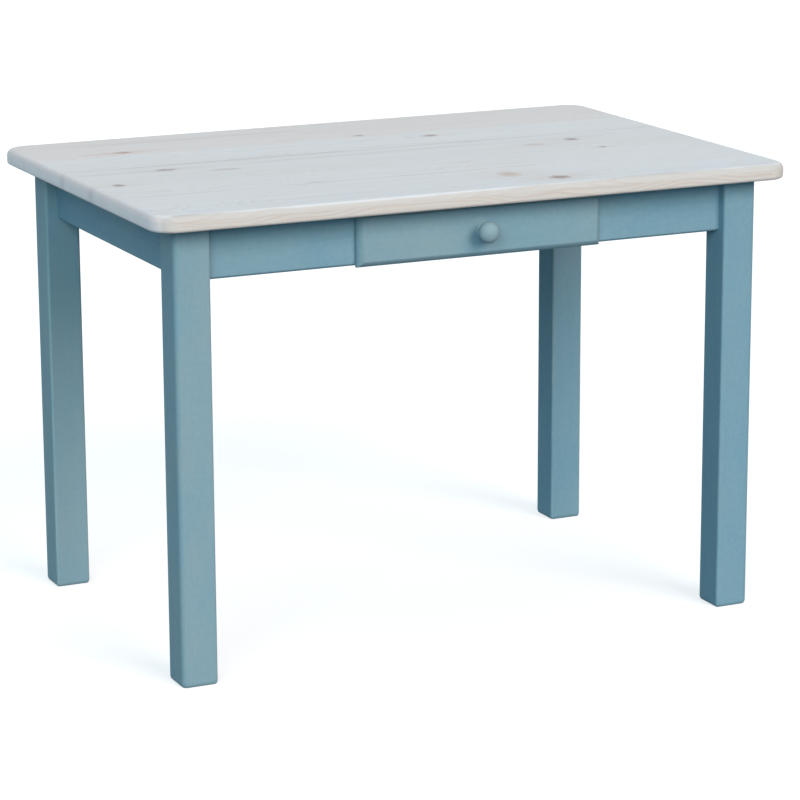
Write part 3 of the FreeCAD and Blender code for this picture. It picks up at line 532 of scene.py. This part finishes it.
# the lighter colour of worn paint and of painted highlights
WORN_AND_LIT_PAINT = srgb(152, 179, 183)
BRUSH, GRAIN, CLOUD = (6.0, 240.0, 240.0), (20.0, 700.0, 700.0), (7.0, 13.0, 13.0)
SPECKLE, MOTTLE = 420.0, 130.0
CLOUD_SHIFT = 0.13
PAINT_GLOSS = 0.06
TONE_AND_LIGHT_SPAN = (-0.5, 0.5)          # X between which a paint's tone may change; the change is partly painted light, lighter and greyer to the left

brushed_paint, w, start, end = new_group(
    "brushed_paint",
    {"Place": VECTOR, "Warmth": FLOAT, "Wear And Highlight": FLOAT},
    {"Color": COLOUR, "Roughness": FLOAT, "Relief": FLOAT})
strokes = w.noise(start["Place"], BRUSH, 4.0, 0.6)
grain = w.noise(start["Place"], GRAIN, 2.0, 0.6)
cloud = w.noise(start["Place"], CLOUD, 3.0, 0.55)
speckle = w.noise(start["Place"], SPECKLE, 2.0, 0.6)
mottle = w.noise(start["Place"], MOTTLE, 3.0, 0.55)
shift = w.ramp(cloud, 0.30, 0.70, start=-CLOUD_SHIFT, end=CLOUD_SHIFT)
paint = w.mix(w.math("ADD", start["Warmth"], shift, clamp=True), PAINT_BLUE, PAINT_GREY)
paint = w.mix(w.ramp(strokes, 0.35, 0.7, end=0.14), paint, srgb(126, 165, 180))
paint = w.mix(w.ramp(mottle, 0.40, 0.65, end=0.16), paint, srgb(138, 168, 176))
paint = w.mix(w.ramp(grain, 0.5, 0.75, end=0.16), paint, srgb(96, 138, 157))
paint = w.mix(w.ramp(speckle, 0.52, 0.72, end=0.14), paint, srgb(92, 134, 153))
# Lighter paint where the last input is high: edge wear and painted highlights on the leg edges, a
# painted highlight on the knob, and a lighter patch on the drawer front.
worn_and_lit = w.times(start["Wear And Highlight"], w.ramp(cloud, 0.35, 0.65, start=0.3))
paint = w.mix(w.times(worn_and_lit, 0.3), paint, WORN_AND_LIT_PAINT)
fine = w.plus(w.times(grain, 0.25), w.times(speckle, 0.3))
w.feed(end["Color"], paint)
w.feed(end["Roughness"], w.ramp(strokes, 0.2, 0.8, start=0.62, end=0.50))
w.feed(end["Relief"], w.plus(w.times(strokes, 0.7), fine))


def paint_material(name, turn, warmth, wear_and_highlight=None, light_pool=None):
    """Blue-grey paint whose brush marks run along the piece; turn sets the order of its axes.

    warmth goes from 0, blue, to 1, grey, and changes along X from a first to a second value; this
    change is partly painted light, lighter and greyer to the left.
    The last two arguments say where the paint turns lighter, and where greyer. The lighter paint
    is edge wear with a painted highlight on the legs, a painted highlight on the knob, and a
    lighter patch on the drawer front; the greyer paint is a painted pool of light on the drawer
    front.
    """
    material, w, shader, place = new_material(name)
    axes = w.split(place)
    tone = w.ramp(axes[X], *TONE_AND_LIGHT_SPAN, *warmth)
    # a painted pool of light, where one is given
    if light_pool:
        tone = w.plus(tone, light_pool(w, axes))
    inputs = {"Place": w.join(*[axes[i] for i in turn]), "Warmth": tone}
    if wear_and_highlight:
        inputs["Wear And Highlight"] = wear_and_highlight(w, axes)
    coat = w.use(brushed_paint, inputs).outputs
    w.surface(shader, coat["Color"], coat["Roughness"], coat["Relief"], strength=0.2, depth=0.0003)
    shader.inputs["Specular IOR Level"].default_value = PAINT_GLOSS
    return material


def leg_edge_wear_and_highlight(w, axes):
    """0 on a leg's faces and 1 near its four long edges, or more on the back legs. This lighter
    paint is edge wear and a painted highlight; the more on the back legs is painted highlight.
    """
    from_x = w.away(w.math("ABSOLUTE", axes[X]), LEG_X)
    from_y = w.away(w.math("ABSOLUTE", axes[Y]), LEG_Y)
    edges = w.ramp(w.math("MINIMUM", from_x, from_y), *EDGE_WEAR_AND_HIGHLIGHT)
    return w.times(edges, w.ramp(axes[Y], -BACK_FROM, BACK_FROM, start=1.0, end=BACK_HIGHLIGHT))


def near_corner(point, corner):
    """Whether a point stands on the upright edge through a corner."""
    return abs(point.x - corner[X]) < NEAR and abs(point.y - corner[Y]) < NEAR


def is_sharp(point, low, high):
    """Whether a point is on one of a block's own upright edges, not rounded yet."""
    return any(near_corner(point, (x, y)) for x in (low.x, high.x) for y in (low.y, high.y))


painted_legs = paint_material("blue_grey_paint_legs", (Z, X, Y), warmth=(0.80, 0.35),
                              wear_and_highlight=leg_edge_wear_and_highlight)
for corner in ("front_left", "front_right", "back_left", "back_right"):
    node = "leg_" + corner
    low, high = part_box(node)
    leg = block("post_" + corner, low, high)
    upright = along(Z)
    outer = (max(low.x, high.x, key=abs), max(low.y, high.y, key=abs))
    round_over(leg, OUTER_ROUND, lambda a, b: upright(a, b) and near_corner(a, outer), steps=10)
    round_over(leg, LEG_ROUND, lambda a, b: upright(a, b) and is_sharp(a, low, high), steps=6)
    round_over(leg, FOOT_ROUND, both_at(Z, low.z), steps=6)
    pick_edges(leg, lambda a, b: max(a.z, b.z) < low.z + FOOT_ROUND + NEAR)
    bpy.ops.transform.resize(value=(1.0, 1.0, FOOT_STRETCH), center_override=(0.0, 0.0, low.z))
    bpy.ops.object.mode_set(mode="OBJECT")
    finish_piece(leg, node, "table", painted_legs)

# ---------------------------------------------------------------------------------------
# Aprons
# Pine boards on edge between the legs, painted like them. The front one is in two lengths,
# one on each side of the drawer. Their lower edges are eased with a small round-over.
# ---------------------------------------------------------------------------------------

APRON_ROUND = 0.0045
FLAT_ROUND = 0.36            # fullness of a profile between a round and a chamfer

painted_long = paint_material("blue_grey_paint_long", (X, Y, Z), warmth=(0.45, 0.35))
painted_ends = paint_material("blue_grey_paint_ends", (Y, X, Z), warmth=(0.40, 0.40))
for name, axis, paint in (("front_left", X, painted_long), ("front_right", X, painted_long),
                          ("back", X, painted_long), ("left", Y, painted_ends),
                          ("right", Y, painted_ends)):
    node = "apron_" + name
    low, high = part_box(node)
    apron = block("apron_board_" + name, low, high)
    bottom = both_at(Z, low.z)
    lengthwise = along(axis)
    round_over(apron, APRON_ROUND, lambda a, b: bottom(a, b) and lengthwise(a, b), steps=6,
               fullness=FLAT_ROUND)
    finish_piece(apron, node, "table", paint)

# ---------------------------------------------------------------------------------------
# Drawer front
# A pine board with the front edges rounded over on all four sides, painted like the frame.
# It laps over the ends of the two front aprons.
# ---------------------------------------------------------------------------------------

FRONT_ROUND = 0.010
BACK_EASE = 0.0008

low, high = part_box("drawer_front")
middle_z = (low.z + high.z) / 2
# middle X, middle Z, half width, half height and strength of two patches in the paint: a lighter
# patch just above the knob, and a painted pool of light to its left
LIGHTER_PATCH = (0.006, middle_z + 0.016, 0.015, 0.010, 1.5)     # a lighter patch just above the knob
# a painted pool of light: greyer and lighter paint left of the knob
PAINTED_LIGHT_POOL = (-0.085, middle_z - 0.008, 0.085, 0.060, 0.16)


def spot(middle_x, middle_z, half_width, half_height, depth):
    """A soft round patch on a front."""
    def soft_spot(w, axes):
        across = w.over(w.minus(axes[X], middle_x), half_width)
        up = w.over(w.minus(axes[Z], middle_z), half_height)
        return w.ramp(w.squares(across, up), 1.0, 0.0, end=depth)
    return soft_spot


front = block("drawer_face", low, high)
round_over(front, FRONT_ROUND, both_at(Y, low.y), steps=10, fullness=FLAT_ROUND)
round_over(front, BACK_EASE, both_at(Y, high.y), steps=2)
painted_drawer = paint_material("blue_grey_paint_drawer", (X, Y, Z), warmth=(0.70, 0.66),
                                wear_and_highlight=spot(*LIGHTER_PATCH), light_pool=spot(*PAINTED_LIGHT_POOL))
finish_piece(front, "drawer_front", "drawer", painted_drawer)

# ---------------------------------------------------------------------------------------
# Knob
# Turned in one piece on a lathe: a slightly flattened ball on a short neck with a foot.
# It is painted with the drawer front and held by a screw from inside.
# ---------------------------------------------------------------------------------------

KNOB_SIDES = 48
# distance in front of the drawer and radius, from the foot to the start of the ball
KNOB_FOOT = [(0.0010, 0.0115), (0.0018, 0.0109), (0.0027, 0.0096), (0.0040, 0.0083),
             (0.0060, 0.0076), (0.0085, 0.0075), (0.0105, 0.0079)]
BALL_HALF = 0.0130
BALL_RINGS = 18
BALL_FROM, BALL_TURN = -61, 149      # degrees from the ball's middle, and on to near its crown

low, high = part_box("drawer_knob")
ball_radius = (high.z - low.z) / 2
axis_x, axis_z = (low.x + high.x) / 2, (low.z + high.z) / 2
ball_middle = high.y - low.y - BALL_HALF
profile = list(KNOB_FOOT)
for step in range(BALL_RINGS):
    angle = math.radians(BALL_FROM + BALL_TURN * step / (BALL_RINGS - 1))
    profile.append((ball_middle + BALL_HALF * math.sin(angle), ball_radius * math.cos(angle)))
bpy.ops.mesh.primitive_circle_add(vertices=KNOB_SIDES, radius=KNOB_FOOT[0][1], fill_type="NGON",
                                  location=(axis_x, high.y, axis_z),
                                  rotation=(math.radians(90), 0, 0))
knob = bpy.context.object
knob.name = knob.data.name = "turned_knob"
bpy.ops.object.transform_apply(location=True, rotation=True, scale=True)
bpy.ops.object.mode_set(mode="EDIT")
bpy.ops.mesh.select_all(action="SELECT")
reached, radius = 0.0, KNOB_FOOT[0][1]
for distance, next_radius in profile:
    bpy.ops.mesh.extrude_region_move(
        TRANSFORM_OT_translate={"value": (0, reached - distance, 0)})
    factor = next_radius / radius
    bpy.ops.transform.resize(value=(factor, 1, factor),
                             center_override=(axis_x, high.y - distance, axis_z))
    reached, radius = distance, next_radius
bpy.ops.mesh.poke()
bpy.ops.mesh.select_all(action="SELECT")
bpy.ops.mesh.normals_make_consistent(inside=False)
bpy.ops.object.mode_set(mode="OBJECT")

# a painted highlight on the ball's upper right
KNOB_HIGHLIGHT = (axis_x + 0.003, axis_z + 0.007, 0.013, 0.010, 1.0)
painted_knob = paint_material("blue_grey_paint_knob", (Z, X, Y), warmth=(1.35, 1.35),
                              wear_and_highlight=spot(*KNOB_HIGHLIGHT))
finish_piece(knob, "drawer_knob", "drawer", painted_knob)

# ---------------------------------------------------------------------------------------
# Bare wood of the frame
# Rails, runners, guides, kickers, cleats and corner blocks: planed pine, left as it is, with
# the sharp edges taken off by a stroke of sandpaper.
# ---------------------------------------------------------------------------------------

SANDED_EDGE = 0.0007
SHARP_FROM = math.radians(60)
FLAT_WITHIN = math.radians(1)
TRUNK = {"Heart Y": -0.02, "Heart Z": 0.62, "Ring Width": 0.0038, "Wander": 0.02}


def bare_pine(name, turn, seed, pale=srgb(226, 201, 160), dark=srgb(190, 147, 100)):
    """Planed pine; turn is the angle in degrees that brings the grain onto X."""
    material, w, shader, place = new_material(name)
    lengthwise = w.add("ShaderNodeMapping", {
        "Vector": place, "Rotation": (0, 0, math.radians(turn))})
    figure = w.use(pine_figure, {"Place": lengthwise.outputs["Vector"], "Seed": seed, **TRUNK})
    rings, fibres, patches = figure.outputs
    wood = w.mix(rings, pale, dark)
    wood = w.mix(w.ramp(patches, 0.3, 0.75, end=0.4), wood, srgb(214, 181, 138))
    wood = w.mix(w.ramp(fibres, 0.45, 0.75, end=0.3), wood, srgb(196, 161, 118))
    roughness = w.ramp(fibres, 0.2, 0.8, start=0.68, end=0.54)
    w.surface(shader, wood, roughness, wood_relief(w, rings, fibres), strength=0.3, depth=0.0004)
    return material


def sanded(node, body, material):
    """The planed piece, with its holes and grooves, its sharp edges sanded round."""
    bpy.ops.object.select_all(action="DESELECT")
    piece = bpy.data.objects.new("sanded_" + node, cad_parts[node].data.copy())
    piece.data.name = piece.name
    bpy.context.scene.collection.objects.link(piece)
    bpy.context.view_layer.objects.active = piece
    piece.select_set(True)
    bpy.ops.object.mode_set(mode="EDIT")
    bpy.ops.mesh.select_all(action="SELECT")
    bpy.ops.mesh.remove_doubles(threshold=NEAR)
    bpy.ops.mesh.dissolve_limited(angle_limit=FLAT_WITHIN)
    bpy.ops.object.mode_set(mode="OBJECT")
    edges = piece.modifiers.new("sanded_edges", "BEVEL")
    edges.width = SANDED_EDGE
    edges.segments = 2
    edges.angle_limit = SHARP_FROM
    bpy.ops.object.modifier_apply(modifier=edges.name)
    finish_piece(piece, node, body, material)


pine_long = bare_pine("raw_pine_long", turn=0, seed=3.0)
pine_deep = bare_pine("raw_pine_deep", turn=90, seed=5.0)
for node in ("drawer_rail_upper", "drawer_rail_lower", "cleat_back"):
    sanded(node, "table", pine_long)
for side in ("left", "right"):
    for node in ("cleat_", "drawer_runner_", "drawer_guide_", "drawer_kicker_"):
        sanded(node + side, "table", pine_deep)
for turn, corners in ((45, ("front_left", "back_right")), (-45, ("front_right", "back_left"))):
    pine_slanting = bare_pine(f"raw_pine_{corners[0]}", turn, seed=8.0)
    for corner in corners:
        sanded("corner_block_" + corner, "table", pine_slanting)

# ---------------------------------------------------------------------------------------
# Drawer box
# Pine sides, back and stop, dowelled together, with a thin plywood bottom that slides into
# a groove and is pinned up into the back.
# ---------------------------------------------------------------------------------------

PALE_PINE, BROWN_PINE = srgb(228, 206, 168), srgb(198, 160, 114)

drawer_pine_long = bare_pine("drawer_pine_long", 0, 11.0, PALE_PINE, BROWN_PINE)
drawer_pine_deep = bare_pine("drawer_pine_deep", 90, 13.0, PALE_PINE, BROWN_PINE)
for side in ("left", "right"):
    sanded("drawer_side_" + side, "drawer", drawer_pine_deep)
for node in ("drawer_back", "drawer_stop"):
    sanded(node, "drawer", drawer_pine_long)

# Rotary-cut veneer: broad wandering flames on the face, three thin layers at the edge.
FLAME_DRIFT, FLAME_X, FLAME_Y, FLAME_BEND = (3.0, 9.0, 1.0), 2.2, 26.0, 3.5
PORES = (24.0, 700.0, 24.0)
CORE_LAYER = (0.0011, 0.0008)        # from the panel's middle, where the core ends

plywood, w, shader, place = new_material("plywood")
panel_low, panel_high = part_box("drawer_bottom")
x, y, z = w.split(place)
drift = w.noise(place, FLAME_DRIFT, 3.0, 0.5, 0.6)
flame_y = w.scaled(drift, FLAME_BEND, w.times(y, FLAME_Y))
flame = w.noise(w.join(w.times(x, FLAME_X), flame_y, 0.0), 1.0, 2.0, 0.5)
pores = w.noise(place, PORES, 3.0, 0.65)
layer = w.away(z, (panel_low.z + panel_high.z) / 2)
veneer = w.mix(w.ramp(flame, 0.40, 0.62), srgb(226, 204, 166), srgb(208, 177, 132))
veneer = w.mix(w.ramp(pores, 0.52, 0.75, end=0.4), veneer, srgb(186, 152, 110))
veneer = w.mix(w.ramp(layer, *CORE_LAYER, end=0.6), veneer, srgb(168, 130, 90))
roughness = w.ramp(pores, 0.2, 0.8, start=0.62, end=0.50)
w.surface(shader, veneer, roughness, pores, strength=0.2, depth=0.0002)
sanded("drawer_bottom", "drawer", plywood)

# ---------------------------------------------------------------------------------------
# Dowels
# Beech, cut from fluted rod: they tie the rails and runners to the frame and the drawer's
# sides to its front and back.
# ---------------------------------------------------------------------------------------

BEECH_TINT, BEECH_FLECKS = 60.0, 900.0


def dress(names, material):
    """Gives the pieces a finish, and leaves their shape."""
    for name in names:
        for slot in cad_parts[name].material_slots:
            slot.material = material


beech, w, shader, place = new_material("beech_dowel")
flecks = w.noise(place, BEECH_FLECKS, 2.0, 0.5)
tint = w.noise(place, BEECH_TINT, 2.0, 0.5)
rod = w.mix(w.ramp(tint, 0.3, 0.7), srgb(214, 178, 140), srgb(202, 160, 120))
rod = w.mix(w.ramp(flecks, 0.6, 0.72, end=0.6), rod, srgb(160, 112, 76))
w.surface(shader, rod, w.ramp(flecks, 0.3, 0.7, start=0.60, end=0.48))
dress(["frame_dowels", "drawer_dowels"], beech)

# ---------------------------------------------------------------------------------------
# Bolts, screws and pins
# Zinc plated steel. The hanger bolts pull the legs against the corner blocks; the screws
# hold blocks, cleats, top, knob and drawer stop.
# ---------------------------------------------------------------------------------------

SPANGLE, TARNISH = 420.0, 70.0

steel, w, shader, place = new_material("zinc_steel")
spangle = w.noise(place, SPANGLE, 3.0, 0.6)
tarnish = w.noise(place, TARNISH, 3.0, 0.6)
plated = w.mix(w.ramp(spangle, 0.3, 0.7), srgb(176, 178, 182), srgb(205, 206, 208))
plated = w.mix(w.ramp(tarnish, 0.5, 0.75, end=0.5), plated, srgb(158, 154, 144))
w.surface(shader, plated, w.ramp(spangle, 0.3, 0.7, start=0.42, end=0.28))
shader.inputs["Metallic"].default_value = 1.0
dress(["hanger_bolts", "bolt_washers", "bolt_nuts", "corner_block_screws", "cleat_screws",
       "tabletop_screws", "knob_screw", "stop_screws", "bottom_pins"], steel)

# ---------------------------------------------------------------------------------------
# Studio
# A white floor and backdrop, soft lamps from the front and above, and the camera. Floor and
# backdrop look white, but the light that they throw on the table is a dim blue.
# ---------------------------------------------------------------------------------------

CAMERA_PLACE = (-2.18895, -4.72814, 1.62418)
YAW, PITCH, ROLL = math.radians(25.02), math.radians(-13.86), math.radians(-0.26)
LENS, SENSOR, FARTHEST = 142.12, 36, 100
FLOOR_SIZE = 60
FLOOR_THROWS, BACKDROP_THROWS = (0.08, 0.145, 0.19, 1), (0.155, 0.270, 0.345, 1)
FLOOR_GREY, FLOOR_GLOW = (0.5, 0.5, 0.5, 1), 0.66
WHITE = (1, 1, 1, 1)
# direction towards the lamp, strength, spread in degrees, colour
LAMPS = {
    "key": ((0.26, -0.86, 0.48), 2.38, 36, (1.0, 0.835, 0.745)),
    "overhead": ((-0.1, 0.1, 1.0), 0.62, 60, (0.98, 1.0, 0.98)),
    "side": ((-0.70, -0.95, 0.50), 1.62, 34, (0.79, 0.96, 1.0)),
}

bpy.ops.object.camera_add()
camera = bpy.context.object
camera.matrix_world = (Matrix.Translation(CAMERA_PLACE) @ Matrix.Rotation(-YAW, 4, "Z")
                       @ Matrix.Rotation(math.pi / 2 + PITCH, 4, "X")
                       @ Matrix.Rotation(ROLL, 4, "Z"))
camera.data.sensor_width = SENSOR
camera.data.lens = LENS
camera.data.clip_end = FARTHEST
bpy.context.scene.camera = camera
bpy.context.scene.view_settings.view_transform = "Standard"


def looked_at(w):
    """1 for rays that show the studio itself, 0 for those that carry its light to the table."""
    rays = w.add("ShaderNodeLightPath").outputs
    mirrored = w.math("MAXIMUM", rays["Is Glossy Ray"], rays["Is Transmission Ray"])
    return w.math("MAXIMUM", rays["Is Camera Ray"], mirrored)


bpy.ops.mesh.primitive_plane_add(size=FLOOR_SIZE)
floor = bpy.context.object
floor.name = floor.data.name = "studio_floor"
floor_finish, w, shader, _ = new_material("studio_floor")
w.tree.nodes.remove(shader)
lit = w.add("ShaderNodeBsdfDiffuse", {"Color": FLOOR_THROWS})
soft = w.add("ShaderNodeBsdfDiffuse", {"Color": FLOOR_GREY})
glow = w.add("ShaderNodeEmission", {"Color": WHITE, "Strength": FLOOR_GLOW})
both = w.add("ShaderNodeAddShader", {0: soft.outputs[0], 1: glow.outputs[0]})
mixed = w.add("ShaderNodeMixShader", {0: looked_at(w), 1: lit.outputs[0], 2: both.outputs[0]})
w.feed(w.tree.nodes["Material Output"].inputs["Surface"], mixed.outputs[0])
floor.data.materials.append(floor_finish)

world = bpy.data.worlds.new("studio")
bpy.context.scene.world = world
world.use_nodes = True
w = Wiring(world.node_tree)
backdrop = world.node_tree.nodes["Background"]
w.feed(backdrop.inputs["Color"], w.mix(looked_at(w), BACKDROP_THROWS, WHITE))
backdrop.inputs["Strength"].default_value = 1.0

for name, (towards, strength, spread, colour) in LAMPS.items():
    bpy.ops.object.light_add(type="SUN")
    lamp = bpy.context.object
    lamp.name = name
    lamp.rotation_euler = Vector(towards).to_track_quat("Z", "Y").to_euler()
    lamp.data.energy = strength
    lamp.data.color = colour
    lamp.data.angle = math.radians(spread)
